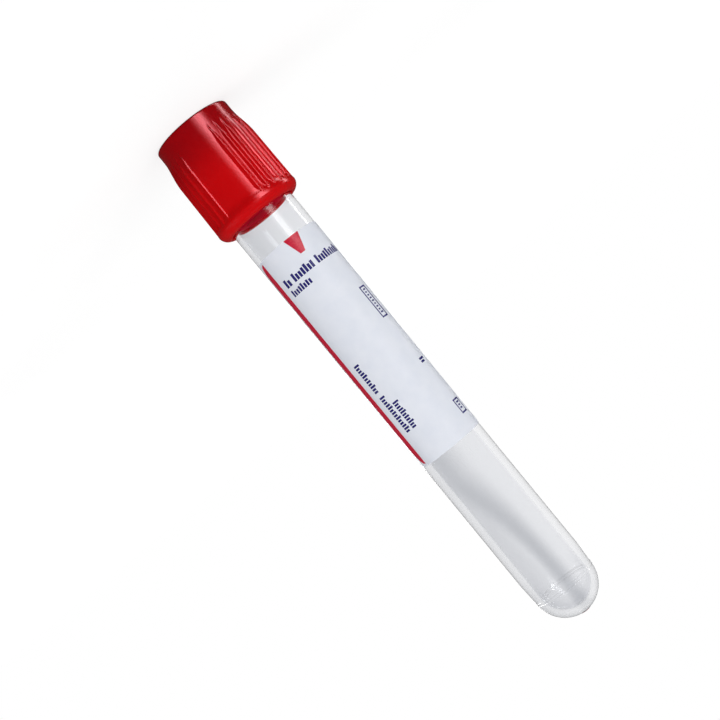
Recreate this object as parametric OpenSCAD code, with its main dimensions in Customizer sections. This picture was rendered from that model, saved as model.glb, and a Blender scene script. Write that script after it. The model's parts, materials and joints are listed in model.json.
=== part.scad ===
// Blood collection tube: a clear round-bottomed tube with a paper label,
// closed by a rubber stopper that sits inside a ribbed plastic safety shield.
// It stands on the flat rim of the shield, at z = 0, with its axis on Z,
// and the round end of the tube points up.

/* [Tube] */
// Outside diameter of the tube at its rim
tube_od = 12.9; // [12.7:0.05:13.5]
// Outside diameter of the straight stretch above the round end
seat_od = 12.55; // [12.2:0.05:12.7]
// Length of the tube from its rim to its round end
tube_length = 101.25; // [95:0.25:125]
// Wall of the tube at its rim
tube_wall = 1; // [0.8:0.05:1.2]
// Wall of the straight stretch above the round end
seat_wall = 1.35; // [1:0.05:1.6]
// Thickness of the round end at its middle
end_wall = 1.3; // [1.2:0.1:2.2]
// Length of the straight stretch above the round end
seat_length = 24; // [18:1:26]
// Outside diameter of the round end
end_od = 12.05; // [11.8:0.05:12.3]
// Length of the taper from the straight stretch to the round end
end_taper_length = 4.2; // [2:0.1:6]
// Length of the straight bore that the plug seals in
bore_length = 14; // [12:0.5:18]
// Radius of the rounding on the tube's rim
rim_round = 0.3; // [0.2:0.05:0.35]
// Height that the mould lines stand proud
mould_line_proud = 0.07; // [0.03:0.01:0.1]
// Width of one mould line
mould_line_w = 0.2; // [0.1:0.05:0.3]
// Gap between the two mould lines
mould_line_gap = 0.35; // [0.2:0.05:0.6]
// Diameter of the gate mark on the round end
gate_d = 2.4; // [1.6:0.1:3.2]
// Diameter of the hollow inside the gate mark
gate_hollow_d = 1.4; // [0.8:0.1:1.5]
// Depth of the gate mark and of its hollow
gate_depth = 0.08; // [0.05:0.01:0.12]

/* [Safety shield] */
// Height of the shield
shield_height = 20.05; // [19.8:0.05:22]
// Outside diameter of the smooth collar at the rim
collar_od = 15.3; // [15:0.1:15.8]
// Height of the smooth collar
collar_height = 2.1; // [1.8:0.1:3]
// Diameter between the ribs where they reach their full height
shoulder_od = 15.85; // [15.6:0.05:16.1]
// Diameter between the ribs at the lower band
skirt_od = 16.15; // [16:0.05:16.6]
// Outside diameter of the lower band
band_od = 17.15; // [17:0.05:17.6]
// Height of the lower band
band_height = 1.9; // [1.6:0.1:2.6]
// Height of the sloped ledge from the ribs to the band
ledge_height = 1.2; // [0.3:0.1:2]
// Rounding of the rim that the shield stands on
rim_edge_round = 0.45; // [0.2:0.05:0.6]
// Rounding of the band's lower edge
band_round = 1.75; // [0.8:0.05:1.8]
// Thickness of the wall around the top recess
recess_wall = 1.2; // [1:0.05:1.3]
// Depth of the top recess down to the stopper
recess_depth = 4.25; // [4.2:0.05:5]
// Thickness of the web that grips the stopper's neck
web_thickness = 1.2; // [1:0.1:1.6]
// Room between the tube and the inside of the skirt
skirt_clearance = 0.45; // [0.35:0.05:0.55]
// Room between the tube and the lip at the skirt's end
lip_clearance = 0.25; // [0.2:0.05:0.3]
// Height of the lip at the skirt's end
lip_height = 1; // [0.6:0.1:1.6]

/* [Ribs] */
// Ribs in each of the two ribbed sectors
ribs_per_sector = 13; // [9:1:14]
// Angle from one rib to the next
rib_pitch_angle = 10.5; // [10:0.1:11]
// Height of a rib above the skirt
rib_height = 0.42; // [0.3:0.02:0.44]
// Width of a rib at its foot
rib_width = 1.05; // [0.8:0.05:1.2]
// Radius of a rib's rounded crest
rib_crest_round = 0.2; // [0.12:0.01:0.25]
// Distance that the ribs take to rise from the collar to their full height
rib_rise = 3.9; // [3:0.1:4.5]
// Angle of the middle of the front smooth panel
panel_angle = 279.5; // [270:0.5:285]

/* [Stopper] */
// Diameter of the stopper's head
head_od = 11.4; // [10.5:0.1:11.8]
// Thickness of the stopper's head
head_thickness = 1.3; // [1:0.1:1.8]
// Diameter of the neck through the shield's web
neck_od = 8.2; // [7.6:0.1:9]
// Diameter of the shoulder that rests on the tube's rim
shoulder_ring_od = 12.6; // [12.2:0.1:12.9]
// Thickness of the shoulder
shoulder_thickness = 1.75; // [1.4:0.05:2.4]
// Length of the plug in the tube
plug_length = 11.3; // [10:0.1:11.5]
// Length of the plug's tapered nose
nose_length = 1.6; // [1:0.1:2.5]
// Reduction of the plug's radius at the nose
nose_taper = 0.35; // [0.2:0.05:0.6]
// Diameter of the dimple that the needle goes through
dimple_d = 5.2; // [4.4:0.1:6]
// Depth of the dimple
dimple_depth = 1.1; // [0.8:0.1:1.4]
// Diameter of the well under the stopper at its mouth
well_mouth_d = 6.4; // [5.6:0.1:7]
// Diameter of the well at its closed end
well_end_d = 5; // [4.2:0.1:5.4]
// Thickness of the septum that the needle pierces
septum_thickness = 2.8; // [2.4:0.1:3.4]
// Rounding of the head and the shoulder
rubber_round = 0.35; // [0.2:0.05:0.45]
// Gap around the plug in the bore
plug_gap = 0.03; // [0.02:0.01:0.06]
// Gap around the neck in the web
neck_gap = 0.03; // [0.02:0.01:0.06]

/* [Label] */
// Length of the label along the tube
label_length = 45.7; // [40:0.1:48]
// Distance from the shield to the label
label_start = 6.7; // [6:0.05:8]
// Angle at which the label's plain edge lies
label_from_angle = 187; // [180:1:192]
// Angle that the label goes round the tube
label_sweep_angle = 158; // [154:1:168]
// Thickness of the paper
label_thickness = 0.12; // [0.1:0.01:0.14]
// Thickness of the ink, which lies flush in the paper
ink_thickness = 0.05; // [0.03:0.01:0.06]
// Thickness of the adhesive under the paper
adhesive_gap = 0.01; // [0.005:0.005:0.02]
// Rounding of the label's corners
label_round = 0.9; // [0.5:0.1:1.5]

/* [Print] */
// Angle that the red stripe covers
stripe_sweep_angle = 15; // [10:1:18]
// Angle of bare paper beside the red stripe
stripe_margin_angle = 2; // [1:0.5:3]
// Distance of the stripe's ends from the label's ends
stripe_inset = 0.5; // [0.3:0.1:1]
// Angle of the triangle's middle
triangle_angle = 258; // [250:1:266]
// Width of the triangle at the label's edge
triangle_w = 3.15; // [2.8:0.05:3.8]
// Width of the triangle's blunt tip
triangle_tip_w = 1; // [0.6:0.1:1.4]
// Height of the triangle
triangle_h = 3.5; // [3:0.1:4.2]
// Distance from the label's edge to the title bars
title_at = 5.1; // [4.6:0.1:5.4]
// Height of the title bars
title_h = 1.6; // [1.2:0.1:1.8]
// Distance from the label's edge to the second row
row_at = 7.3; // [7.2:0.1:8]
// Height of the second row
row_h = 1.3; // [0.9:0.1:1.4]
// Thickness of the frame lines of the two boxes
frame_line_w = 0.3; // [0.2:0.05:0.4]
// Height of the cells in which the columns and boxes are laid out
print_cell_h = 1; // [0.9:0.02:1.04]

/* [Hidden] */

// Fineness of round faces
$fn = 96;
// Overlap that keeps cuts and joins clean
eps = 0.02;
// Reach of a cutter that passes right through a skin
reach = 1;
full_turn = 360;

// Heights along the axis, from the rim that the shield stands on
head_z = recess_depth;
web_z = head_z + head_thickness;
shoulder_z = web_z + web_thickness;
rim_z = shoulder_z + shoulder_thickness;
plug_end_z = rim_z + plug_length;
tip_z = rim_z + tube_length;
end_centre_z = tip_z - end_od / 2;
taper_z = end_centre_z - end_taper_length;
seat_z = taper_z - seat_length;
label_z = shield_height + label_start;
label_end_z = label_z + label_length;

// Radii of the tube
tube_r = tube_od / 2;
seat_r = seat_od / 2;
end_r = end_od / 2;
bore_r = tube_r - tube_wall;
inner_r = seat_r - seat_wall;
hollow_end_z = tip_z - end_wall;
hollow_centre_z = hollow_end_z - inner_r;
bore_end_z = rim_z + bore_length;

// Radii of the shield
collar_r = collar_od / 2;
shoulder_r = shoulder_od / 2;
skirt_r = skirt_od / 2;
band_r = band_od / 2;
recess_r = collar_r - recess_wall;
skirt_bore_r = tube_r + skirt_clearance;
lip_r = tube_r + lip_clearance;
web_hole_r = neck_od / 2 + neck_gap;
band_z = shield_height - band_height;
ledge_z = band_z - ledge_height;
full_rib_z = collar_height + rib_rise;

// Rib crest as tangents to one smooth rise: each has a height, a radius and a slope
crest_r = shoulder_r + rib_height;
straight_slope = atan((skirt_r - shoulder_r) / (ledge_z - full_rib_z));
rise_slope = atan((crest_r - collar_r) / rib_rise);
middle_slope = (straight_slope + rise_slope) / 2;
// Distance that the middle tangent lies under the corner it cuts off
middle_drop = 0.05;
// Depth at which a rib starts under the collar's edge, so that it fades in below it
start_drop = 0.08;
tangents = [
    [full_rib_z, crest_r, straight_slope],
    [full_rib_z, crest_r - middle_drop, middle_slope],
    [collar_height, collar_r - start_drop, rise_slope]
];
// Widening of each next bar of a rib, so that the first one gives the width
bar_step = 0.04;
// Depth of a rib's bars, so that the steepest still reaches the skirt at its far end
rib_root = rib_height + shield_height * tan(rise_slope);
// Radius inside the wall that a rib starts from
rib_foot_r = (collar_r + skirt_bore_r) / 2;
sector_sweep = (ribs_per_sector - 1) * rib_pitch_angle;
half_turn = full_turn / 2;
first_rib = panel_angle + half_turn / 2 - sector_sweep / 2;

// Radii of the stopper
plug_r = bore_r - plug_gap;
dimple_end_z = head_z + dimple_depth;
well_end_z = dimple_end_z + septum_thickness;

// Print, as angles round the tube that are measured back from the label's red edge
red_edge_angle = label_from_angle + label_sweep_angle;
title_bars = [[29, 14], [48, 42], [95, 56]];
row_bars = [[29, 42]];
// Columns: angle, sweep, cells from the label's edge, cells long
columns = [
    [30, 11, 24.4, 6.2],
    [30, 11, 31.4, 7.8],
    [44, 11, 33.4, 5.8],
    [128, 15, 30.3, 1.2]
];
// Boxes: angle, sweep, cells from the label's edge, cells long
boxes = [
    [124, 17, 14.2, 6.8],
    [127, 19, 39.6, 3]
];
// Angle that one frame line of a box covers
frame_line_angle = frame_line_w / tube_r * half_turn / PI;

// A disc-shaped solid of revolution whose rims are rounded
module rounded_disc(r, z, h, round_r) {
    translate([0, 0, z + round_r])
        cylinder(r = r, h = h - 2 * round_r);
    translate([0, 0, z])
        cylinder(r = r - round_r, h = h);
    for (ring_z = [z + round_r, z + h - round_r])
        translate([0, 0, ring_z])
            rotate_extrude()
                translate([r - round_r, 0])
                    circle(r = round_r);
}

// The outside of the tube, grown evenly by a skin
module tube_outside(grow) {
    translate([0, 0, rim_z])
        cylinder(r1 = tube_r + grow, r2 = seat_r + grow, h = seat_z - rim_z);
    translate([0, 0, seat_z])
        cylinder(r = seat_r + grow, h = seat_length);
}

// One fine line that the mould leaves, at a distance under the start of the round end
module mould_line(below) {
    taper_r = end_r + (seat_r - end_r) * below / end_taper_length;
    translate([0, 0, end_centre_z - below])
        cylinder(r = taper_r + mould_line_proud, h = mould_line_w);
}

// The two mould lines, one over and one under the start of the round end
module mould_lines() {
    mould_line(-mould_line_w);
    mould_line(mould_line_gap);
}

// The taper and the round end with its gate mark
module tube_end() {
    translate([0, 0, taper_z])
        cylinder(r1 = seat_r, r2 = end_r, h = end_taper_length);
    difference() {
        translate([0, 0, end_centre_z])
            sphere(r = end_r);
        translate([0, 0, tip_z - gate_depth])
            cylinder(d = gate_d, h = reach);
    }
    translate([0, 0, tip_z - 2 * gate_depth])
        difference() {
            cylinder(d = gate_d - 2 * gate_depth, h = 2 * gate_depth);
            translate([0, 0, gate_depth])
                cylinder(d = gate_hollow_d, h = reach);
        }
}

// The hollow of the tube: a straight bore, a drafted stretch and a round end
module tube_hollow() {
    translate([0, 0, rim_z - reach])
        cylinder(r = bore_r, h = bore_length + reach);
    translate([0, 0, bore_end_z])
        cylinder(r1 = bore_r, r2 = inner_r, h = seat_z - bore_end_z);
    translate([0, 0, seat_z])
        cylinder(r = inner_r, h = hollow_centre_z - seat_z);
    translate([0, 0, hollow_centre_z])
        sphere(r = inner_r);
}

// Takes the sharp outer edge off the tube's rim
module rim_cutter() {
    translate([0, 0, rim_z])
        difference() {
            translate([0, 0, -reach])
                cylinder(r = tube_r + reach, h = rim_round + reach);
            translate([0, 0, -reach])
                cylinder(r = tube_r - rim_round, h = rim_round + 2 * reach);
            rotate_extrude()
                translate([tube_r - rim_round, rim_round])
                    circle(r = rim_round);
        }
}

module tube() {
    color([0.85, 0.88, 0.92, 0.4])
        difference() {
            union() {
                tube_outside(0);
                mould_lines();
                tube_end();
            }
            tube_hollow();
            rim_cutter();
        }
}

// Half section of the shield's outside, without its ribs
module shield_outline() {
    translate([collar_r - rim_edge_round, rim_edge_round])
        circle(r = rim_edge_round);
    translate([band_r - band_round, shield_height - band_round])
        intersection() {
            circle(r = band_round);
            square(band_round);
        }
    polygon([
        [0, 0],
        [collar_r - rim_edge_round, 0],
        [collar_r, rim_edge_round],
        [collar_r, collar_height],
        [shoulder_r, full_rib_z],
        [skirt_r, ledge_z],
        [band_r, band_z],
        [band_r, shield_height - band_round],
        [band_r - band_round, shield_height],
        [0, shield_height]
    ]);
}

// Everything that is hollow inside the shield, on both sides of its web
module shield_hollow() {
    translate([0, 0, -reach])
        cylinder(r = recess_r, h = web_z + reach);
    translate([0, 0, -reach])
        cylinder(r = web_hole_r, h = shield_height);
    translate([0, 0, shoulder_z])
        cylinder(r = skirt_bore_r, h = shield_height - lip_height - shoulder_z);
    translate([0, 0, shoulder_z])
        cylinder(r = lip_r, h = shield_height);
}

// Cross-section of a rib: x points away from the axis, from the crest's top
module rib_section(width) {
    translate([-rib_crest_round, 0])
        circle(r = rib_crest_round);
    polygon([
        [-rib_root, -width / 2],
        [-rib_height, -width / 2],
        [-rib_crest_round, -rib_crest_round],
        [-rib_crest_round, rib_crest_round],
        [-rib_height, width / 2],
        [-rib_root, width / 2]
    ]);
}

// The part common to three straight bars that follow a rib's crest
module rib_bars() {
    intersection_for (i = [0:len(tangents) - 1])
        translate([tangents[i][1], 0, tangents[i][0]])
            rotate([0, tangents[i][2], 0])
                translate([0, 0, -shield_height])
                    linear_extrude(height = 2 * shield_height)
                        rib_section(rib_width + i * bar_step);
}

// One rib, from the collar down to the band
module rib() {
    intersection() {
        translate([rib_foot_r, -rib_width, collar_height])
            cube([band_r, 2 * rib_width, band_z - collar_height]);
        rib_bars();
    }
}

module ribs() {
    for (side = [0:1])
        for (i = [0:ribs_per_sector - 1])
            rotate([0, 0, first_rib + side * half_turn + i * rib_pitch_angle])
                rib();
}

module safety_shield() {
    color([0.78, 0, 0.02])
        difference() {
            union() {
                rotate_extrude()
                    shield_outline();
                ribs();
            }
            shield_hollow();
        }
}

module stopper() {
    color([0.5, 0.02, 0.08])
        difference() {
            union() {
                rounded_disc(head_od / 2, head_z, head_thickness, rubber_round);
                translate([0, 0, head_z + rubber_round])
                    cylinder(d = neck_od, h = rim_z - head_z - rubber_round);
                rounded_disc(shoulder_ring_od / 2, shoulder_z, shoulder_thickness, rubber_round);
                translate([0, 0, rim_z - eps])
                    cylinder(r = plug_r, h = plug_length - nose_length + eps);
                translate([0, 0, plug_end_z - nose_length])
                    cylinder(r1 = plug_r, r2 = plug_r - nose_taper, h = nose_length);
            }
            translate([0, 0, head_z - reach])
                cylinder(d = dimple_d, h = dimple_depth + reach);
            translate([0, 0, well_end_z])
                cylinder(d1 = well_end_d, d2 = well_mouth_d, h = plug_end_z - well_end_z + eps);
        }
}

// A block of the label's skin: from an angle and a height, over a sweep and a length
module skin_block(from, sweep, z, length) {
    rotate([0, 0, from])
        rotate_extrude(angle = sweep)
            translate([seat_r - reach, z])
                square([tube_r - seat_r + 2 * reach, length]);
}

// A skin of a given thickness, under the label's outer surface
module label_skin(thickness) {
    difference() {
        tube_outside(adhesive_gap + label_thickness);
        tube_outside(adhesive_gap + label_thickness - thickness);
    }
}

// Rounds one corner of the label: at an angle and a height, with the corner
// pointing along +y (side = 1) or -y (side = -1), and up (end = 1) or down (end = -1)
module corner_cutter(angle, z, side, end) {
    rotate([0, 0, angle])
        translate([seat_r - reach, 0, z])
            rotate([90, 0, 90])
                linear_extrude(height = 3 * reach)
                    difference() {
                        translate([side > 0 ? -label_round : -reach, end > 0 ? -label_round : -reach])
                            square(label_round + reach);
                        translate([-side * label_round, -end * label_round])
                            circle(r = label_round);
                    }
}

module corner_cutters() {
    corner_cutter(label_from_angle, label_z, -1, -1);
    corner_cutter(label_from_angle, label_end_z, -1, 1);
    corner_cutter(red_edge_angle, label_z, 1, -1);
    corner_cutter(red_edge_angle, label_end_z, 1, 1);
}

// A block of the print: back from the red edge and down from the label's near edge
module print_block(back, sweep, down, length) {
    skin_block(red_edge_angle - back - sweep, sweep, label_z + down, length);
}

// Blocks of the red stripe, of the triangle and of the navy print
module stripe_block() {
    print_block(
        stripe_margin_angle,
        stripe_sweep_angle,
        stripe_inset,
        label_length - 2 * stripe_inset
    );
}

module triangle_block() {
    rotate([0, 0, triangle_angle])
        translate([seat_r - reach, 0, label_z])
            rotate([90, 0, 90])
                linear_extrude(height = 3 * reach)
                    polygon([
                        [-triangle_w / 2, -reach],
                        [triangle_w / 2, -reach],
                        [triangle_w / 2, 0],
                        [triangle_tip_w / 2, triangle_h],
                        [-triangle_tip_w / 2, triangle_h],
                        [-triangle_w / 2, 0]
                    ]);
}

// A box drawn as a frame of four lines
module frame_block(back, sweep, down, length) {
    difference() {
        print_block(back, sweep, down, length);
        print_block(
            back + frame_line_angle,
            sweep - 2 * frame_line_angle,
            down + frame_line_w,
            length - 2 * frame_line_w
        );
    }
}

module print_blocks() {
    for (bar = title_bars)
        print_block(bar[0], bar[1], title_at, title_h);
    for (bar = row_bars)
        print_block(bar[0], bar[1], row_at, row_h);
    for (c = columns)
        print_block(c[0], c[1], c[2] * print_cell_h, c[3] * print_cell_h);
    for (b = boxes)
        frame_block(b[0], b[1], b[2] * print_cell_h, b[3] * print_cell_h);
}

// The label's outline cut from a skin of a given thickness
module label_sheet(thickness) {
    difference() {
        intersection() {
            label_skin(thickness);
            skin_block(label_from_angle, label_sweep_angle, label_z, label_length);
        }
        corner_cutters();
    }
}

// Ink: the part of the paper's outer skin that a block covers
module ink() {
    intersection() {
        label_sheet(ink_thickness);
        children();
    }
}

module label() {
    color([0.88, 0.9, 0.94])
        difference() {
            label_sheet(label_thickness);
            ink() {
                union() {
                    stripe_block();
                    triangle_block();
                    print_blocks();
                }
            }
        }
}

module label_stripe() {
    color([0.76, 0.1, 0.2])
        ink()
            stripe_block();
}

module label_triangle() {
    color([0.8, 0.08, 0.12])
        ink()
            triangle_block();
}

module label_print() {
    color([0.14, 0.13, 0.42])
        ink()
            print_blocks();
}

safety_shield();
stopper();
tube();
label();
label_stripe();
label_triangle();
label_print();
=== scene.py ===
"""Looks of a clear blood collection tube that stands on the rim of its red closure.

Units are metres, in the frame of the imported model: the tube's axis is Z, and z = 0 is
the flat rim of the closure. Angles go round Z from +X, in degrees.
"""

import json
import math

import bpy
from mathutils import Matrix, Vector


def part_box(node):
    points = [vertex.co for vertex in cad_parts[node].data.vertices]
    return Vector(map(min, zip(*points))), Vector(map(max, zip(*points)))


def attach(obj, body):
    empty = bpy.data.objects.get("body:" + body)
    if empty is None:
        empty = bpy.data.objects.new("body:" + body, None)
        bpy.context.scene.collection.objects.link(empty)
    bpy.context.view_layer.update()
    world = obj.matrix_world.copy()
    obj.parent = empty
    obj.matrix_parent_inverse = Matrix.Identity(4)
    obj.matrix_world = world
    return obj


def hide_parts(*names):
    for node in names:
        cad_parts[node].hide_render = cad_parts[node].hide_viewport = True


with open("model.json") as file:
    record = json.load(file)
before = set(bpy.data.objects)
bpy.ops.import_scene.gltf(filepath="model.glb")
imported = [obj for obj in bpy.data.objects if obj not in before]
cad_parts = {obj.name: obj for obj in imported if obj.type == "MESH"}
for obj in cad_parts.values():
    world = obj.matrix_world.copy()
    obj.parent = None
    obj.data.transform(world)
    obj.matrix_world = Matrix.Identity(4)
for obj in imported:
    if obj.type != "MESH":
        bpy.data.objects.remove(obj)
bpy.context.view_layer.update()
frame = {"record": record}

MM = 0.001
HALF_TURN = 180.0
FULL_TURN = 360.0

# Columns of faces round each turned piece, degrees between the columns of a plate, and
# angles between two faces above which their edge stays sharp
TUBE_COLUMNS = 192
SHIELD_COLUMNS = 720
STOPPER_COLUMNS = 128
PLATE_STEP = 1.5
TUBE_SHARP = 50.0
CLOSURE_SHARP = 60.0
PLATE_SHARP = 35.0

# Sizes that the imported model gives
TUBE_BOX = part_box("tube")
SHIELD_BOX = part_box("safety_shield")
STOPPER_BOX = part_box("stopper")
LABEL_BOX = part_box("label")
MOUNTS = {mount["name"]: mount for mount in frame["record"]["mounts"]}
RIM_Z = TUBE_BOX[0].z
TIP_Z = TUBE_BOX[1].z
TUBE_R = TUBE_BOX[1].x
SEAT_R = MOUNTS["rack_seat"]["dims"]["r_mm"] * MM
SHIELD_H = SHIELD_BOX[1].z
BAND_R = SHIELD_BOX[1].x
LABEL_LOW = LABEL_BOX[0].z
LABEL_HIGH = LABEL_BOX[1].z

# Tube
WALL = 1.0 * MM
SEAT_WALL = 1.35 * MM
END_WALL = 1.3 * MM
END_R = 6.025 * MM
END_TAPER = 4.2 * MM
SEAT_LENGTH = 24.0 * MM
BORE_LENGTH = 14.0 * MM
RIM_ROUND = 0.3 * MM
END_CENTRE_Z = TIP_Z - END_R
TAPER_Z = END_CENTRE_Z - END_TAPER
SEAT_Z = TAPER_Z - SEAT_LENGTH
BORE_R = TUBE_R - WALL
INNER_R = SEAT_R - SEAT_WALL
HOLLOW_CENTRE_Z = TIP_Z - END_WALL - INNER_R
MOULD_LINE_PROUD = 0.07 * MM
MOULD_LINE_W = 0.2 * MM
MOULD_LINE_GAP = 0.35 * MM
GATE_R = 1.2 * MM
GATE_HOLLOW_R = 0.7 * MM
GATE_DEPTH = 0.08 * MM

# Shield
COLLAR_R = 7.65 * MM
COLLAR_H = 2.1 * MM
SHOULDER_R = 7.925 * MM
SKIRT_R = 8.075 * MM
FULL_RIB_Z = 6.0 * MM
BAND_H = 1.9 * MM
LEDGE_H = 1.2 * MM
LEDGE_Z = SHIELD_H - BAND_H - LEDGE_H
RIM_EDGE_ROUND = 0.45 * MM
BAND_ROUND = 1.75 * MM
RECESS_R = 6.45 * MM
WEB_LOW = 5.55 * MM
WEB_HIGH = 6.75 * MM
WEB_HOLE_R = 4.13 * MM
SKIRT_BORE_R = TUBE_R + 0.45 * MM
LIP_R = TUBE_R + 0.25 * MM
LIP_H = 1.0 * MM
SOFT_EDGE = 0.12 * MM
RIB_H = 0.42 * MM
RIB_W = 1.05 * MM
RIB_CREST = 0.2 * MM
RIB_START_DROP = 0.08 * MM
RIB_PITCH = 10.5
RIBS_PER_SECTOR = 13
PANEL_ANGLE = 279.5
COLLAR_BLEND = 0.06 * MM
SHOULDER_BLEND = 0.1 * MM
BAND_BLEND = 0.2 * MM
LEDGE_BLEND = 0.25 * MM
CREST_BLEND = 0.2 * MM
RIB_FOOT_BLEND = 0.07 * MM

# Stopper
HEAD_LOW = STOPPER_BOX[0].z
HEAD_R = 5.7 * MM
NECK_R = 4.1 * MM
SHOULDER_RING_R = 6.3 * MM
PLUG_R = BORE_R - 0.03 * MM
PLUG_END_Z = STOPPER_BOX[1].z
NOSE_L = 1.6 * MM
NOSE_TAPER = 0.35 * MM
DIMPLE_R = 2.6 * MM
DIMPLE_DEPTH = 1.1 * MM
WELL_MOUTH_R = 3.2 * MM
WELL_END_R = 2.5 * MM
SEPTUM = 2.8 * MM
RUBBER_ROUND = 0.35 * MM

# Label. Its print is placed as in the model: angles are measured back from the red
# edge, and distances run along the tube from the edge that is nearest to the closure.
LABEL_FROM = 187.0
LABEL_SWEEP = 158.0
RED_EDGE = LABEL_FROM + LABEL_SWEEP
PAPER_T = 0.12 * MM
GLUE_GAP = 0.01 * MM
LABEL_ROUND = 0.9 * MM
INK_T = 0.02 * MM
INK_PROUD = 0.008 * MM
STRIPE_MARGIN = 2.0
STRIPE_SWEEP = 15.0
STRIPE_INSET = 0.5 * MM
STRIPE_END = 3.2 * MM
STRIPE_TIP_SWEEP = 1.0
TRIANGLE_ANGLE = 258.0
TRIANGLE_W = 3.15 * MM
TRIANGLE_TIP_W = 1.0 * MM
TRIANGLE_H = 3.5 * MM
TITLE_AT = 5.1 * MM
TITLE_H = 1.6 * MM
ROW_AT = 7.3 * MM
ROW_H = 1.3 * MM
FRAME_LINE_W = 0.3 * MM

# Rows of print: angle back from the red edge, and angle covered
TITLE_BARS = ((29, 14), (48, 42), (95, 56))
ROW_BARS = ((29, 42),)

# Columns of print and boxes: the same two angles, and start and length in millimetres
COLUMNS = (
    (30, 11, 24.4, 6.2),
    (30, 11, 31.4, 7.8),
    (44, 11, 33.4, 5.8),
    (128, 15, 30.3, 1.2),
)
BOXES = (
    (124, 17, 14.2, 6.8),
    (127, 19, 39.6, 3),
)

# Strokes of the print: their pitch, the inked share of it, and how long they are as
# shares of the row's height or the column's width
TITLE_PITCH = 0.66 * MM
ROW_PITCH = 0.56 * MM
COLUMN_PITCH = 0.55 * MM
BOX_PITCH = 0.6 * MM
TITLE_WEIGHT = 0.74
ROW_WEIGHT = 0.7
BOX_WEIGHT = 0.5
STROKE_SHARES = (1.0, 0.72, 0.72, 0.86, 1.0, 0.72, 0.86, 0.72)


# ---------------------------------------------------------------- mesh helpers


def arc(centre_r, centre_z, radius, start, end, steps):
    """Points (r, z) along an arc, from one angle to another, both ends included."""
    points = []
    for i in range(steps + 1):
        a = math.radians(start + (end - start) * i / steps)
        points.append((centre_r + radius * math.cos(a), centre_z + radius * math.sin(a)))
    return points


def new_object(name, vertices, faces, sharp_angle=PLATE_SHARP):
    """A smooth-shaded mesh object. Edges between faces at more than an angle stay sharp."""
    mesh = bpy.data.meshes.new(name)
    mesh.from_pydata(vertices, [], faces)
    mesh.validate()
    mesh.shade_smooth()
    mesh.set_sharp_from_angle(angle=math.radians(sharp_angle))
    piece = bpy.data.objects.new(name, mesh)
    bpy.context.scene.collection.objects.link(piece)
    return piece


def revolve(name, outline, columns, sharp_angle):
    """Turns an outline of (r, z) points, from axis to axis, round Z. The outline runs
    against the clock, so that the solid lies on its left."""
    vertices = []
    rings = []
    for r, z in outline:
        if r < MM / 1000:
            rings.append([len(vertices)] * columns)
            vertices.append((0.0, 0.0, z))
            continue
        rings.append(list(range(len(vertices), len(vertices) + columns)))
        for i in range(columns):
            a = math.radians(FULL_TURN * i / columns)
            vertices.append((r * math.cos(a), r * math.sin(a), z))
    faces = []
    for low, high in zip(rings, rings[1:]):
        for i in range(columns):
            j = (i + 1) % columns
            corners = dict.fromkeys((low[i], low[j], high[j], high[i]))
            faces.append(list(corners))
    return new_object(name, vertices, faces, sharp_angle)


def tube_radius(z):
    """Outside radius of the tube at a height below its taper."""
    share = min((z - RIM_Z) / (SEAT_Z - RIM_Z), 1.0)
    return TUBE_R + (SEAT_R - TUBE_R) * share


def plate(rows, low_offset, high_offset, first):
    """Vertices and faces of a thin closed plate bent round the tube. rows is a list of
    (z, start angle, end angle); first is the number of the plate's first vertex."""
    widest = max(end - start for z, start, end in rows)
    columns = max(2, math.ceil(widest / PLATE_STEP))
    across = columns + 1
    vertices = []
    for offset in (high_offset, low_offset):
        for z, start, end in rows:
            r = tube_radius(z) + offset
            for i in range(across):
                a = math.radians(start + (end - start) * i / columns)
                vertices.append((r * math.cos(a), r * math.sin(a), z))
    layer = across * len(rows)
    top = (len(rows) - 1) * across
    faces = []
    for k in range(len(rows) - 1):
        for i in range(columns):
            a = k * across + i
            faces.append((a, a + 1, a + across + 1, a + across))
            faces.append((a + layer, a + layer + across, a + layer + across + 1, a + layer + 1))
        a = k * across
        b = a + columns
        faces.append((a, a + across, a + across + layer, a + layer))
        faces.append((b, b + layer, b + across + layer, b + across))
    for i in range(columns):
        faces.append((i, i + layer, i + 1 + layer, i + 1))
        faces.append((top + i, top + i + 1, top + i + 1 + layer, top + i + layer))
    return vertices, [tuple(first + corner for corner in face) for face in faces]


def plates(name, row_lists, low_offset, high_offset):
    """One object made of separate thin plates."""
    vertices = []
    faces = []
    for rows in row_lists:
        more_vertices, more_faces = plate(rows, low_offset, high_offset, len(vertices))
        vertices += more_vertices
        faces += more_faces
    return new_object(name, vertices, faces)


# ------------------------------------------------------------------- the tube


def mould_line(below):
    """Outline of one proud line, at a distance under the start of the round end."""
    r = END_R + (SEAT_R - END_R) * below / END_TAPER
    half = MOULD_LINE_W / 2
    middle = END_CENTRE_Z - below + half
    return [(r + MOULD_LINE_PROUD * x, middle + half * y) for x, y in arc(0, 0, 1, 90, -90, 6)]


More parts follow.
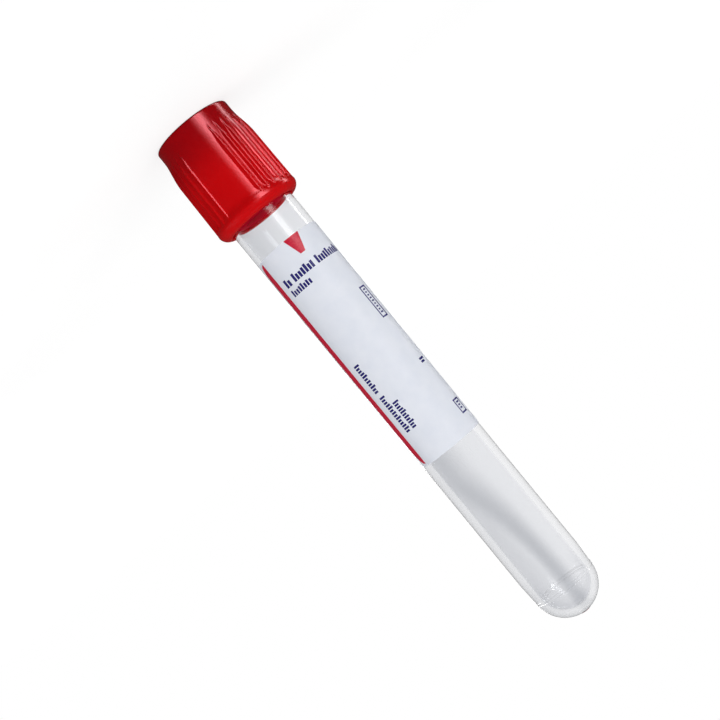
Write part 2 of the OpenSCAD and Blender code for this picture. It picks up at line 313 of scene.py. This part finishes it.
def tube_outline():
    """Outline of the tube. It is listed from the round end down and back up inside, and
    then reversed, because revolve wants it the other way."""
    bore_end = RIM_Z + BORE_LENGTH
    gate_angle = math.degrees(math.acos(GATE_R / END_R))
    points = [
        (0.0, TIP_Z - GATE_DEPTH),
        (GATE_HOLLOW_R / 2, TIP_Z - GATE_DEPTH),
        (GATE_HOLLOW_R, TIP_Z - GATE_DEPTH),
        (GATE_HOLLOW_R + GATE_DEPTH, TIP_Z),
        (GATE_R - 2 * GATE_DEPTH, TIP_Z),
        (GATE_R - GATE_DEPTH, TIP_Z - GATE_DEPTH),
    ]
    line_angle = math.degrees(math.asin(2 * MOULD_LINE_W / END_R))
    points += arc(0, END_CENTRE_Z, END_R, gate_angle, line_angle, 40)
    points += mould_line(-MOULD_LINE_W)
    points.append((END_R, END_CENTRE_Z))
    points += mould_line(MOULD_LINE_GAP)
    points += [(SEAT_R, TAPER_Z - SEAT_LENGTH * k / 6) for k in range(7)]
    for k in range(1, 13):
        z = SEAT_Z + (RIM_Z + RIM_ROUND - SEAT_Z) * k / 12
        points.append((tube_radius(z), z))
    points += arc(TUBE_R - RIM_ROUND, RIM_Z + RIM_ROUND, RIM_ROUND, -15, -90, 5)
    points += arc(BORE_R + RIM_ROUND / 3, RIM_Z + RIM_ROUND / 3, RIM_ROUND / 3, -90, -180, 3)
    points += [(BORE_R, RIM_Z + BORE_LENGTH * k / 4) for k in range(1, 4)]
    for k in range(11):
        r = BORE_R + (INNER_R - BORE_R) * k / 10
        points.append((r, bore_end + (SEAT_Z - bore_end) * k / 10))
    for k in range(1, 6):
        points.append((INNER_R, SEAT_Z + (HOLLOW_CENTRE_Z - SEAT_Z) * k / 5))
    points += arc(0, HOLLOW_CENTRE_Z, INNER_R, 3, 87, 30)
    points.append((0.0, HOLLOW_CENTRE_Z + INNER_R))
    return points[::-1]


def make_tube():
    """The clear tube with its round end, gate mark and two mould lines."""
    return revolve("clear_tube", tube_outline(), TUBE_COLUMNS, TUBE_SHARP)


# ----------------------------------------------------------------- the shield


def smooth_max(a, b, blend):
    """The larger of two lengths, rounded where they cross."""
    near = max(blend - abs(a - b), 0.0)
    return max(a, b) + near * near / (4 * blend)


def smooth_min(a, b, blend):
    """The smaller of two lengths, rounded where they cross."""
    return -smooth_max(-a, -b, blend)


def along(z, start, end, low, high):
    """Straight line through (start, low) and (end, high)."""
    return low + (high - low) * (z - start) / (end - start)


def shield_skin_r(z):
    """Outside radius of the shield between its ribs."""
    shoulder = along(z, COLLAR_H, FULL_RIB_Z, COLLAR_R, SHOULDER_R)
    skirt = along(z, FULL_RIB_Z, LEDGE_Z, SHOULDER_R, SKIRT_R)
    ledge = along(z, LEDGE_Z, LEDGE_Z + LEDGE_H, SKIRT_R, BAND_R)
    r = smooth_max(COLLAR_R, smooth_min(shoulder, skirt, SHOULDER_BLEND), COLLAR_BLEND)
    return smooth_max(r, smooth_min(ledge, BAND_R, BAND_BLEND), LEDGE_BLEND)


def rib_crest_r(z):
    """Radius of a rib's crest: a steep rise that bends into the skirt's own slope."""
    crest = SHOULDER_R + RIB_H
    slope = (crest - COLLAR_R) / (FULL_RIB_Z - COLLAR_H)
    steep = COLLAR_R - RIB_START_DROP + slope * (z - COLLAR_H)
    straight = along(z, FULL_RIB_Z, LEDGE_Z, crest, SKIRT_R + RIB_H)
    return smooth_min(steep, straight, CREST_BLEND)


def rib_drop(across):
    """Depth of a rib's surface under its crest, at a distance to the side."""
    x = abs(across)
    if x < RIB_CREST:
        return RIB_CREST - math.sqrt(RIB_CREST ** 2 - x ** 2)
    return RIB_CREST + (x - RIB_CREST) * (RIB_H - RIB_CREST) / (RIB_W / 2 - RIB_CREST)


def shield_outer_r(z, angle):
    """Outside radius of the shield at a height and an angle, ribs included."""
    half_panel = (HALF_TURN - (RIBS_PER_SECTOR - 1) * RIB_PITCH) / 2
    from_first = (angle - PANEL_ANGLE) % HALF_TURN - half_panel
    index = min(max(round(from_first / RIB_PITCH), 0), RIBS_PER_SECTOR - 1)
    across = math.radians(from_first - index * RIB_PITCH) * SKIRT_R
    rib = rib_crest_r(z) - rib_drop(across)
    return smooth_max(shield_skin_r(z), rib, RIB_FOOT_BLEND)


def shield_heights():
    """Heights of the rows on the shield's outside, closer where its shape turns."""
    rise_start = COLLAR_H - 0.3 * MM
    rise_end = FULL_RIB_Z + 0.6 * MM
    ledge_start = LEDGE_Z - 0.6 * MM
    ledge_end = LEDGE_Z + LEDGE_H + 0.2 * MM
    band_end = SHIELD_H - BAND_ROUND
    stretches = (
        (RIM_EDGE_ROUND, rise_start, 6),
        (rise_start, rise_end, 32),
        (rise_end, ledge_start, 24),
        (ledge_start, ledge_end, 16),
        (ledge_end, band_end, 4),
    )
    heights = []
    for low, high, steps in stretches:
        heights += [low + (high - low) * k / steps for k in range(steps)]
    return heights + [band_end]


def shield_inner_outline():
    """Outline inside the shield, from the skirt's lip to the rim it stands on."""
    e = SOFT_EDGE
    skirt_top = SHIELD_H - LIP_H
    points = arc(LIP_R + 2 * e, SHIELD_H - 2 * e, 2 * e, 90, 180, 5)
    points += [(LIP_R, skirt_top), (SKIRT_BORE_R, skirt_top - 2 * e)]
    points += [(SKIRT_BORE_R, WEB_HIGH + (skirt_top - WEB_HIGH) * k / 5) for k in (4, 3, 2, 1)]
    points += arc(SKIRT_BORE_R - e, WEB_HIGH + e, e, 0, -90, 3)
    points += arc(WEB_HOLE_R + e, WEB_HIGH - e, e, 90, 180, 3)
    points += arc(WEB_HOLE_R + e, WEB_LOW + e, e, 180, 270, 3)
    points += arc(RECESS_R - e, WEB_LOW - e, e, 90, 0, 3)
    points += [(RECESS_R, WEB_LOW * k / 4) for k in (3, 2, 1)]
    return points + arc(RECESS_R + e, e, e, 180, 270, 4)


def make_shield():
    """The shield's closed outline, turned round Z in columns that follow the ribs."""
    heights = shield_heights()
    low_edge = arc(COLLAR_R - RIM_EDGE_ROUND, RIM_EDGE_ROUND, RIM_EDGE_ROUND, -90, 0, 7)[:-1]
    high_edge = arc(BAND_R - BAND_ROUND, SHIELD_H - BAND_ROUND, BAND_ROUND, 0, 90, 12)[1:]
    inner = shield_inner_outline()
    vertices = []
    for i in range(SHIELD_COLUMNS):
        angle = FULL_TURN * i / SHIELD_COLUMNS
        c = math.cos(math.radians(angle))
        s = math.sin(math.radians(angle))
        column = low_edge + [(shield_outer_r(z, angle), z) for z in heights] + high_edge + inner
        vertices += [(r * c, r * s, z) for r, z in column]
    rows = len(low_edge) + len(heights) + len(high_edge) + len(inner)
    faces = []
    for i in range(SHIELD_COLUMNS):
        here = i * rows
        there = (i + 1) % SHIELD_COLUMNS * rows
        for k in range(rows):
            n = (k + 1) % rows
            faces.append((here + k, there + k, there + n, here + n))
    return new_object("ribbed_shield", vertices, faces, CLOSURE_SHARP)


# ---------------------------------------------------------------- the stopper


def stopper_outline():
    """Outline of the stopper, from the dimple's floor round to the well's end."""
    e = RUBBER_ROUND
    dimple_end = HEAD_LOW + DIMPLE_DEPTH
    well_end = dimple_end + SEPTUM
    points = [(0.0, dimple_end), (DIMPLE_R / 2, dimple_end)]
    points += arc(DIMPLE_R - e / 2, dimple_end - e / 2, e / 2, 90, 0, 4)
    points += arc(DIMPLE_R + e / 2, HEAD_LOW + e / 2, e / 2, 180, 270, 4)
    points += arc(HEAD_R - e, HEAD_LOW + e, e, -90, 0, 6)
    points += arc(HEAD_R - e, WEB_LOW - e, e, 0, 90, 6)
    points += [(NECK_R, WEB_LOW), (NECK_R, WEB_HIGH)]
    points += arc(SHOULDER_RING_R - e, WEB_HIGH + e, e, -90, 0, 6)
    points += arc(SHOULDER_RING_R - e, RIM_Z - e, e, 0, 90, 6)
    points += [(PLUG_R, RIM_Z), (PLUG_R, (RIM_Z + PLUG_END_Z) / 2), (PLUG_R, PLUG_END_Z - NOSE_L)]
    points += arc(PLUG_R - NOSE_TAPER - e, PLUG_END_Z - e, e, 10, 90, 5)
    points += arc(WELL_MOUTH_R + e / 2, PLUG_END_Z - e / 2, e / 2, 90, 170, 4)
    points += arc(WELL_END_R - e, well_end + e, e, -6, -90, 5)
    return points + [(0.0, well_end)]


def make_stopper():
    """The rubber stopper: head, neck, shoulder and hollow plug."""
    return revolve("rubber_stopper", stopper_outline(), STOPPER_COLUMNS, CLOSURE_SHARP)


# ------------------------------------------------------------------ the label


def label_rows():
    """Rows of the label, which get narrower in its rounded corners."""
    rises = [LABEL_ROUND * (1 - math.cos(math.radians(a))) for a in range(0, 90, 10)]
    straight = LABEL_HIGH - LABEL_LOW - 2 * LABEL_ROUND
    heights = [LABEL_LOW + rise for rise in rises]
    heights += [LABEL_LOW + LABEL_ROUND + straight * k / 40 for k in range(41)]
    heights += [LABEL_HIGH - rise for rise in reversed(rises)]
    rows = []
    for z in heights:
        from_arc = max(LABEL_ROUND - min(z - LABEL_LOW, LABEL_HIGH - z), 0.0)
        inset = LABEL_ROUND - math.sqrt(max(LABEL_ROUND ** 2 - from_arc ** 2, 0.0))
        turn = math.degrees(inset / tube_radius(z))
        rows.append((z, LABEL_FROM + turn, RED_EDGE - turn))
    return rows


def make_label():
    """The paper label, bent round the tube."""
    return plates("paper_label", [label_rows()], GLUE_GAP, GLUE_GAP + PAPER_T)


def ink(name, row_lists):
    """Ink that lies in the paper's surface and stands a hair proud of it."""
    surface = GLUE_GAP + PAPER_T
    return plates(name, row_lists, surface - INK_T, surface + INK_PROUD)


def patch(back, sweep, down, length):
    """Rows of a plain patch of print, at an angle back from the red edge and a distance
    down from the label's near edge."""
    start = RED_EDGE - back - sweep
    end = RED_EDGE - back
    low = LABEL_LOW + down
    return [(low, start, end), (low + length, start, end)]


def make_stripe():
    """The red stripe along the label's edge. At both ends its outer side curves in."""
    low = LABEL_LOW + STRIPE_INSET
    high = LABEL_HIGH - STRIPE_INSET
    end = RED_EDGE - STRIPE_MARGIN
    rises = [STRIPE_END * (1 - math.cos(math.radians(a))) for a in range(0, 90, 9)]
    heights = [low + rise for rise in rises]
    heights += [low + STRIPE_END, high - STRIPE_END]
    heights += [high - rise for rise in reversed(rises)]
    rows = []
    for z in heights:
        share = max(1 - min(z - low, high - z) / STRIPE_END, 0.0)
        turn = (STRIPE_SWEEP - STRIPE_TIP_SWEEP) * (1 - math.sqrt(1 - share ** 2))
        rows.append((z, end - STRIPE_SWEEP, end - turn))
    return ink("red_stripe", [rows])


def make_triangle():
    """The red triangle with a blunt tip, which stands on the label's near edge."""
    rows = []
    for k in range(8):
        z = LABEL_LOW + TRIANGLE_H * k / 7
        half = (TRIANGLE_W + (TRIANGLE_TIP_W - TRIANGLE_W) * k / 7) / 2
        turn = math.degrees(half / tube_radius(z))
        rows.append((z, TRIANGLE_ANGLE - turn, TRIANGLE_ANGLE + turn))
    return ink("red_triangle", [rows])


def stroke_row(back, sweep, down, height, pitch, weight):
    """A word-like row of plain upright strokes round the tube. It isn't lettering."""
    count = max(1, round(math.radians(sweep) * TUBE_R / pitch))
    step = sweep / count
    strokes = []
    for i in range(count):
        tall = height * STROKE_SHARES[i % len(STROKE_SHARES)]
        strokes.append(patch(back + i * step, step * weight, down + height - tall, tall))
    return strokes


def stroke_column(back, sweep, down, length, pitch, weight):
    """A word-like column of plain strokes along the tube. It isn't lettering."""
    count = max(1, round(length / pitch))
    step = length / count
    strokes = []
    for i in range(count):
        wide = sweep * STROKE_SHARES[i % len(STROKE_SHARES)]
        strokes.append(patch(back, wide, down + i * step, step * weight))
    return strokes


def frame_lines(back, sweep, down, length):
    """Four lines round a box."""
    line = math.degrees(FRAME_LINE_W / TUBE_R)
    return [
        patch(back, sweep, down, FRAME_LINE_W),
        patch(back, sweep, down + length - FRAME_LINE_W, FRAME_LINE_W),
        patch(back, line, down + FRAME_LINE_W, length - 2 * FRAME_LINE_W),
        patch(back + sweep - line, line, down + FRAME_LINE_W, length - 2 * FRAME_LINE_W),
    ]


def make_print():
    """The navy print: rows and columns of strokes, and two boxes."""
    strokes = []
    for back, sweep in TITLE_BARS:
        strokes += stroke_row(back, sweep, TITLE_AT, TITLE_H, TITLE_PITCH, TITLE_WEIGHT)
    for back, sweep in ROW_BARS:
        strokes += stroke_row(back, sweep, ROW_AT, ROW_H, ROW_PITCH, ROW_WEIGHT)
    for back, sweep, down, length in COLUMNS:
        place = (back, sweep, down * MM, length * MM)
        strokes += stroke_column(*place, COLUMN_PITCH, ROW_WEIGHT)
    margin = 2 * FRAME_LINE_W
    turn = math.degrees(margin / TUBE_R)
    for back, sweep, down, length in BOXES:
        strokes += frame_lines(back, sweep, down * MM, length * MM)
        place = (back + turn, sweep - 2 * turn, down * MM + margin, length * MM - 2 * margin)
        strokes += stroke_column(*place, BOX_PITCH, BOX_WEIGHT)
    return ink("navy_print", strokes)


# ----------------------------------------------------------------------- nodes


class NodeTree:
    """The node tree of a material or a world, and short ways to add its nodes."""

    def __init__(self, owner):
        owner.use_nodes = True
        self.nodes = owner.node_tree.nodes
        self.links = owner.node_tree.links

    def feed(self, socket, value):
        """Links a socket to another one, or sets it to a constant."""
        if isinstance(value, bpy.types.NodeSocket):
            self.links.new(value, socket)
        else:
            socket.default_value = value

    def math(self, operation, *values):
        """A Math node whose inputs are sockets or constants."""
        node = self.nodes.new("ShaderNodeMath")
        node.operation = operation
        for socket, value in zip(node.inputs, values):
            self.feed(socket, value)
        return node.outputs[0]

    def map_range(self, value, start, end, low=0.0, high=1.0, kind="SMOOTHSTEP"):
        """A value that goes from low to high while another one goes from start to end,
        along an S curve or, where the kind is LINEAR, along a straight line."""
        node = self.nodes.new("ShaderNodeMapRange")
        node.interpolation_type = kind
        self.feed(node.inputs["Value"], value)
        self.feed(node.inputs["From Min"], start)
        self.feed(node.inputs["From Max"], end)
        self.feed(node.inputs["To Min"], low)
        self.feed(node.inputs["To Max"], high)
        return node.outputs["Result"]

    def mix(self, share, first, second):
        """Mixes two numbers. The share is the second one's."""
        node = self.nodes.new("ShaderNodeMix")
        self.feed(node.inputs["Factor"], share)
        self.feed(node.inputs["A"], first)
        self.feed(node.inputs["B"], second)
        return node.outputs["Result"]

    def kinds_of_ray(self):
        """Three factors: 1 on rays from the camera, straight or through the clear
        plastic, 1 on rays that were mirrored on the way, and 1 on rays that went through
        the plastic."""
        path = self.nodes.new("ShaderNodeLightPath").outputs
        mirrored = self.math("GREATER_THAN", path["Glossy Depth"], 0.5)
        through = self.math("GREATER_THAN", path["Transmission Depth"], 0.5)
        direct = self.math("MAXIMUM", path["Is Camera Ray"], path["Is Transmission Ray"])
        seen = self.math("GREATER_THAN", direct, mirrored)
        return seen, mirrored, through


class Shading(NodeTree):
    """A node material with one Principled shader."""

    def __init__(self, name):
        self.material = bpy.data.materials.new(name)
        super().__init__(self.material)
        self.shader = self.nodes["Principled BSDF"]
        self.coordinates = self.nodes.new("ShaderNodeTexCoord")

    def set(self, socket, value):
        """Sets a socket of the shader to a constant."""
        self.shader.inputs[socket].default_value = value

    def place(self):
        """X, Y and Z of the point in the model."""
        split = self.nodes.new("ShaderNodeSeparateXYZ")
        self.links.new(self.coordinates.outputs["Object"], split.inputs["Vector"])
        return split.outputs["X"], split.outputs["Y"], split.outputs["Z"]

    def noise(self, size, stretch=1.0, detail=3.0):
        """Noise whose features have a size in metres, longer along Z by a factor."""
        mapping = self.nodes.new("ShaderNodeMapping")
        mapping.inputs["Scale"].default_value = (1 / size, 1 / size, 1 / (size * stretch))
        texture = self.nodes.new("ShaderNodeTexNoise")
        texture.inputs["Scale"].default_value = 1.0
        texture.inputs["Detail"].default_value = detail
        self.links.new(self.coordinates.outputs["Object"], mapping.inputs["Vector"])
        self.links.new(mapping.outputs["Vector"], texture.inputs["Vector"])
        return texture.outputs["Fac"]

    def ramp(self, factor, socket, low, high, start=0.3, end=0.7):
        """Drives a socket of the shader between two numbers or two colours."""
        if not isinstance(low, tuple):
            number = self.map_range(factor, start, end, low, high, "LINEAR")
            self.links.new(number, self.shader.inputs[socket])
            return
        node = self.nodes.new("ShaderNodeValToRGB")
        for stop, position, colour in zip(node.color_ramp.elements, (start, end), (low, high)):
            stop.position = position
            stop.color = (*colour, 1.0)
        self.links.new(factor, node.inputs["Fac"])
        self.links.new(node.outputs["Color"], self.shader.inputs[socket])

    def bump(self, factor, distance, strength, below=None):
        """Bumps the surface, on top of another bump if one is given as below."""
        node = self.nodes.new("ShaderNodeBump")
        node.inputs["Distance"].default_value = distance
        node.inputs["Strength"].default_value = strength
        self.links.new(factor, node.inputs["Height"])
        if below:
            self.links.new(below, node.inputs["Normal"])
        self.links.new(node.outputs["Normal"], self.shader.inputs["Normal"])
        return node.outputs["Normal"]

    def band(self, low, high, bend):
        """1 along the middle of an upright band that bends, and 0 beside it. Both ends
        have an X, a Z and the band's reach to the side, and past them it runs on
        straight. The larger the bend, the straighter is the band near its high end."""
        x, _, z = self.place()
        rest = self.math("DIVIDE", self.math("SUBTRACT", high[1], z), high[1] - low[1])
        rest = self.math("MINIMUM", self.math("MAXIMUM", rest, 0.0), 1.0)
        bent = self.math("POWER", rest, bend)
        middle = self.math("MULTIPLY_ADD", bent, low[0] - high[0], high[0])
        reach = self.math("MULTIPLY_ADD", bent, low[2] - high[2], high[2])
        aside = self.math("ABSOLUTE", self.math("SUBTRACT", x, middle))
        return self.map_range(aside, reach, 0.0)

    def let_through(self, kind_of_ray):
        """Lets one kind of ray pass straight through the surface."""
        clear = self.nodes.new("ShaderNodeBsdfTransparent")
        mix = self.nodes.new("ShaderNodeMixShader")
        self.links.new(kind_of_ray, mix.inputs[0])
        self.links.new(self.shader.outputs["BSDF"], mix.inputs[1])
        self.links.new(clear.outputs["BSDF"], mix.inputs[2])
        self.links.new(mix.outputs["Shader"], self.nodes["Material Output"].inputs["Surface"])


# ------------------------------------------------------------------- materials

# Painted shade in the colour of the clear plastic. A slanting band of painted shade darkens
# the empty end, and each of its two ends has an X, a Z and a reach to the side. A pair gives
# the places where a part of the painted shade begins and where it is full, and a share says
# how strong that part is.
SLANT_LOW = (4.1 * MM, 78 * MM, 6.5 * MM)
SLANT_HIGH = (-0.5 * MM, 105 * MM, 2.7 * MM)
SLANT_BEND = 2.4
SLANT_FADE = (50 * MM, 70 * MM)
SIDE_FADE = (-4.0 * MM, 9.0 * MM)
CRESCENT_FADE = (3.8 * MM, 2.4 * MM)
CRESCENT_RISE = (98 * MM, 105 * MM)
NECK_FADE = (40 * MM, 30 * MM)
SLANT_SHARE = 0.85
SIDE_SHARE = 0.7
CRESCENT_SHARE = 0.45
NECK_SHARE = 0.15
STREAK_SHARE = 0.1


def painted_shade_and_streaks(m):
    """Strength of the painted shade in the clear plastic: a slanting band, the side of the
    label's red edge, a crescent in the round end and the neck by the closure are painted
    darker, and faint streaks add random tone."""
    x, y, z = m.place()
    slant = m.band(SLANT_LOW, SLANT_HIGH, SLANT_BEND)
    slant = m.math("MULTIPLY", slant, m.map_range(z, *SLANT_FADE))
    side = m.map_range(x, *SIDE_FADE)
    crescent = m.map_range(m.math("ABSOLUTE", y), *CRESCENT_FADE)
    crescent = m.math("MULTIPLY", crescent, m.map_range(z, *CRESCENT_RISE))
    neck = m.map_range(z, *NECK_FADE)
    # The parts of the painted shade add up here.
    slant = m.math("MULTIPLY", slant, SLANT_SHARE)
    painted_shade = m.math("MAXIMUM", slant, m.math("MULTIPLY", side, SIDE_SHARE))
    painted_shade = m.math("MULTIPLY_ADD", crescent, CRESCENT_SHARE, painted_shade)
    painted_shade = m.math("MULTIPLY_ADD", neck, NECK_SHARE, painted_shade)
    return m.mix(STREAK_SHARE, painted_shade, m.noise(5.0 * MM, 5.0, 1.0))


def clear_plastic():
    """Clear moulded plastic whose colour is painted darker where shade is painted on, with faint
    random streaks. Light falls straight through it onto what is inside. Rays that were
    mirrored twice are let out, so that they don't run on inside the wall, and so are rays
    that another piece mirrored."""
    m = Shading("clear_plastic")
    m.set("IOR", 1.5)
    m.set("Transmission Weight", 1.0)
    m.set("Specular Tint", (0.45, 0.45, 0.45, 1.0))
    # Painted shade: the colour goes from clear towards grey as the painted shade grows.
    m.ramp(painted_shade_and_streaks(m), "Base Color", (0.925, 0.93, 0.945), (0.7, 0.71, 0.735), 0.0, 1.0)
    m.ramp(m.noise(2.0 * MM, 6.0), "Roughness", 0.03, 0.07)
    m.bump(m.noise(1.5 * MM, 30.0, 1.0), 0.001 * MM, 0.3)
    path = m.nodes.new("ShaderNodeLightPath").outputs
    lighting = m.math("MAXIMUM", path["Is Shadow Ray"], path["Is Diffuse Ray"])
    twice = m.math("GREATER_THAN", path["Glossy Depth"], 1.5)
    entered = m.math("ADD", path["Transmission Depth"], 0.5)
    elsewhere = m.math("GREATER_THAN", path["Glossy Depth"], entered)
    m.let_through(m.math("MAXIMUM", lighting, m.math("MAXIMUM", twice, elsewhere)))
    return m.material


def shield_plastic():
    """Semi-gloss moulded red plastic: a fine spark-eroded grain, a slight waviness, painted shade
    that makes it darker towards the rim than over the pale tube, and a faint random mottle."""
    m = Shading("shield_plastic")
    m.set("Specular IOR Level", 1.0)
    m.set("Specular Tint", (1.0, 0.32, 0.37, 1.0))
    # Painted shade: the red grows darker towards the rim below 14 mm, and a fifth of the factor
    # is random mottle.
    rise = m.map_range(m.place()[2], 1.0 * MM, 14.0 * MM)
    shade_and_mottle = m.mix(0.2, rise, m.noise(3.0 * MM, 1.5))
    m.ramp(shade_and_mottle, "Base Color", (0.31, 0.0, 0.002), (0.56, 0.0, 0.001), 0.1, 0.8)
    m.ramp(m.noise(0.5 * MM), "Roughness", 0.18, 0.27)
    grain = m.bump(m.noise(0.12 * MM, 1.0, 2.0), 0.006 * MM, 0.25)
    m.bump(m.noise(1.6 * MM, 2.0), 0.02 * MM, 0.3, grain)
    return m.material


def stopper_rubber():
    """Matt dark red rubber with a fine grain."""
    m = Shading("stopper_rubber")
    m.set("Specular IOR Level", 0.0)
    m.ramp(m.noise(1.5 * MM), "Base Color", (0.36, 0.001, 0.01), (0.44, 0.002, 0.016))
    m.ramp(m.noise(0.4 * MM), "Roughness", 0.5, 0.7)
    m.bump(m.noise(0.15 * MM), 0.02 * MM, 0.4)
    return m.material


def label_paper():
    """Smooth coated paper: a low gloss, faint fibres and a slight waviness."""
    m = Shading("label_paper")
    m.set("Specular IOR Level", 0.25)
    m.ramp(m.noise(2.5 * MM), "Base Color", (0.72, 0.75, 0.825), (0.76, 0.785, 0.85))
    m.ramp(m.noise(0.3 * MM, 2.0), "Roughness", 0.38, 0.5)
    fibres = m.bump(m.noise(0.18 * MM, 3.0), 0.006 * MM, 0.3)
    m.bump(m.noise(4.0 * MM, 1.5, 2.0), 0.04 * MM, 0.4, fibres)
    return m.material


def print_ink(name, low, high):
    """Printed ink that is a little thinner, and so paler, in places."""
    m = Shading(name)
    m.set("Specular IOR Level", 0.15)
    m.ramp(m.noise(0.35 * MM), "Base Color", low, high)
    m.ramp(m.noise(0.8 * MM), "Roughness", 0.14, 0.2)
    m.bump(m.noise(0.2 * MM), 0.004 * MM, 0.3)
    return m.material


# ------------------------------------------------------------- camera and light

# Levels of the world's light, where 1 is white, and the directions between which the grey
# room gives way to the white backdrop, as shares of +Y, which points away from the camera
WHITE = 1.0
WORLD_LIGHT = 0.62
DARK_ROOM = 0.04
GREY_ROOM = 0.3
ROOM_END = -0.2
BACKDROP_START = 0.6

# The floor's size and colour, and the glow that whitens it further from the object
FLOOR_REACH = 3.0
FLOOR_COLOURS = ((0.29, 0.29, 0.29), (0.31, 0.31, 0.31))
GLOW_START = 0.1
GLOW_END = 0.8
GLOW_LEVELS = (0.72, 0.9)

# Softboxes: name, azimuth, width, low and high end, level, whether gloss mirrors it, and
# whether it shows inside the clear plastic. The mirrored ones reach below the floor, so
# that the closure mirrors them down to its rim.
LAMP_DISTANCE = 0.55
LAMPS = (
    ("key", 33, 0.18, -0.6, 0.1, 5.7, True, True),
    ("key_border", 31, 0.34, -0.6, 0.1, 2.5, True, False),
    ("side", 107, 0.1, -0.6, 0.1, 6.0, True, False),
    ("front_fill", 24, 0.4, 0.02, 0.5, 2.3, False, False),
    ("left_fill", -70, 0.4, 0.02, 0.5, 2.0, False, False),
    ("back_fill", 180, 0.5, 0.02, 0.5, 1.8, False, False),
)


def look_matrix(position, forward, right):
    """Matrix of a camera or lamp that looks forward, with a given direction on its right."""
    back = -forward.normalized()
    right = right.normalized()
    matrix = Matrix((right, back.cross(right), back)).transposed().to_4x4()
    matrix.translation = position
    return matrix


def make_camera():
    """The photo's view: almost level with the standing tube's middle, and rolled so that
    the closure is at the upper left."""
    away = 253.2 * MM
    height = 56.6 * MM
    aside = 2.89 * MM
    pitch = math.radians(1.326)
    axis_down = math.radians(50.68)
    forward = Vector((0, math.cos(pitch), -math.sin(pitch)))
    upward = Vector((0, math.sin(pitch), math.cos(pitch)))
    leftward = Vector((-1, 0, 0))
    right = upward * math.cos(axis_down) + leftward * math.sin(axis_down)
    data = bpy.data.cameras.new("camera")
    data.lens = 71.78
    data.sensor_width = 36.0
    data.clip_start = 0.01
    camera = bpy.data.objects.new("camera", data)
    camera.matrix_world = look_matrix(Vector((aside, -away, height)), forward, right)
    bpy.context.scene.collection.objects.link(camera)
    bpy.context.scene.camera = camera


def make_lamp(name, azimuth, width, low, high, level, mirrored, inside):
    """An upright softbox between two heights, turned to the tube. Azimuth 0 is on the
    camera's side, and it grows towards the upper right of the picture."""
    a = math.radians(270.0 - azimuth)
    direction = Vector((math.cos(a), math.sin(a), 0))
    data = bpy.data.lights.new(name, "AREA")
    data.shape = "RECTANGLE"
    data.size = width
    data.size_y = high - low
    data.energy = level * math.pi * width * (high - low)
    lamp = bpy.data.objects.new(name, data)
    position = direction * LAMP_DISTANCE + Vector((0, 0, (low + high) / 2))
    lamp.matrix_world = look_matrix(position, -direction, Vector((0, 0, 1)).cross(direction))
    lamp.visible_transmission = inside
    lamp.visible_glossy = mirrored
    bpy.context.scene.collection.objects.link(lamp)


def make_world():
    """White to the camera and through the clear plastic, and a soft grey light for the
    rest. Gloss mirrors a dark room. What is mirrored inside the clear plastic shows the
    white backdrop behind the tube, and a grey room in front of it."""
    world = bpy.data.worlds.new("studio")
    bpy.context.scene.world = world
    tree = NodeTree(world)
    background = tree.nodes["Background"]
    background.inputs["Color"].default_value = (1, 1, 1, 1)
    seen, mirrored, through = tree.kinds_of_ray()
    coordinates = tree.nodes.new("ShaderNodeTexCoord")
    split = tree.nodes.new("ShaderNodeSeparateXYZ")
    tree.links.new(coordinates.outputs["Generated"], split.inputs["Vector"])
    behind = tree.map_range(split.outputs["Y"], ROOM_END, BACKDROP_START, GREY_ROOM, WHITE)
    room = tree.math("MAXIMUM", tree.math("MULTIPLY", through, behind), DARK_ROOM)
    unseen = tree.mix(mirrored, WORLD_LIGHT, room)
    tree.links.new(tree.mix(seen, unseen, WHITE), background.inputs["Strength"])


def make_floor():
    """A pale floor that meets the white background and keeps the object's shadow. Gloss
    looks through it, to the lamps below."""
    reach = FLOOR_REACH
    corners = [(-reach, -reach, 0), (reach, -reach, 0), (reach, reach, 0), (-reach, reach, 0)]
    floor = new_object("floor", corners, [(0, 1, 2, 3)])
    m = Shading("floor")
    m.set("Roughness", 0.9)
    m.set("Specular IOR Level", 0.0)
    m.set("Emission Color", (1, 1, 1, 1))
    m.ramp(m.noise(60 * MM), "Base Color", *FLOOR_COLOURS)
    distance = m.nodes.new("ShaderNodeVectorMath")
    distance.operation = "LENGTH"
    m.links.new(m.coordinates.outputs["Object"], distance.inputs[0])
    glow = m.map_range(distance.outputs["Value"], GLOW_START, GLOW_END, *GLOW_LEVELS)
    seen, mirrored, _ = m.kinds_of_ray()
    m.links.new(m.math("MULTIPLY", seen, glow), m.shader.inputs["Emission Strength"])
    m.let_through(mirrored)
    floor.data.materials.append(m.material)


# ----------------------------------------------------------------- the assembly

RED_INK = print_ink("red_ink", (0.5, 0.012, 0.035), (0.6, 0.03, 0.06))
NAVY_INK = print_ink("navy_ink", (0.018, 0.016, 0.13), (0.04, 0.035, 0.18))

# Each piece: its maker, the node it replaces, its body, its slot and its material
PIECES = (
    (make_tube, "tube", "tube", "clear_plastic", clear_plastic()),
    (make_shield, "safety_shield", "closure", "shield_plastic", shield_plastic()),
    (make_stopper, "stopper", "closure", "stopper_rubber", stopper_rubber()),
    (make_label, "label", "tube", "label_paper", label_paper()),
    (make_stripe, "label_stripe", "tube", "red_ink", RED_INK),
    (make_triangle, "label_triangle", "tube", "red_ink", RED_INK),
    (make_print, "label_print", "tube", "navy_ink", NAVY_INK),
)

for make, node, body, slot, material in PIECES:
    piece = make()
    piece.data.materials.append(material)
    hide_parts(node)
    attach(piece, body)

make_camera()
make_world()
make_floor()
for lamp in LAMPS:
    make_lamp(*lamp)
bpy.context.scene.view_settings.view_transform = "Standard"
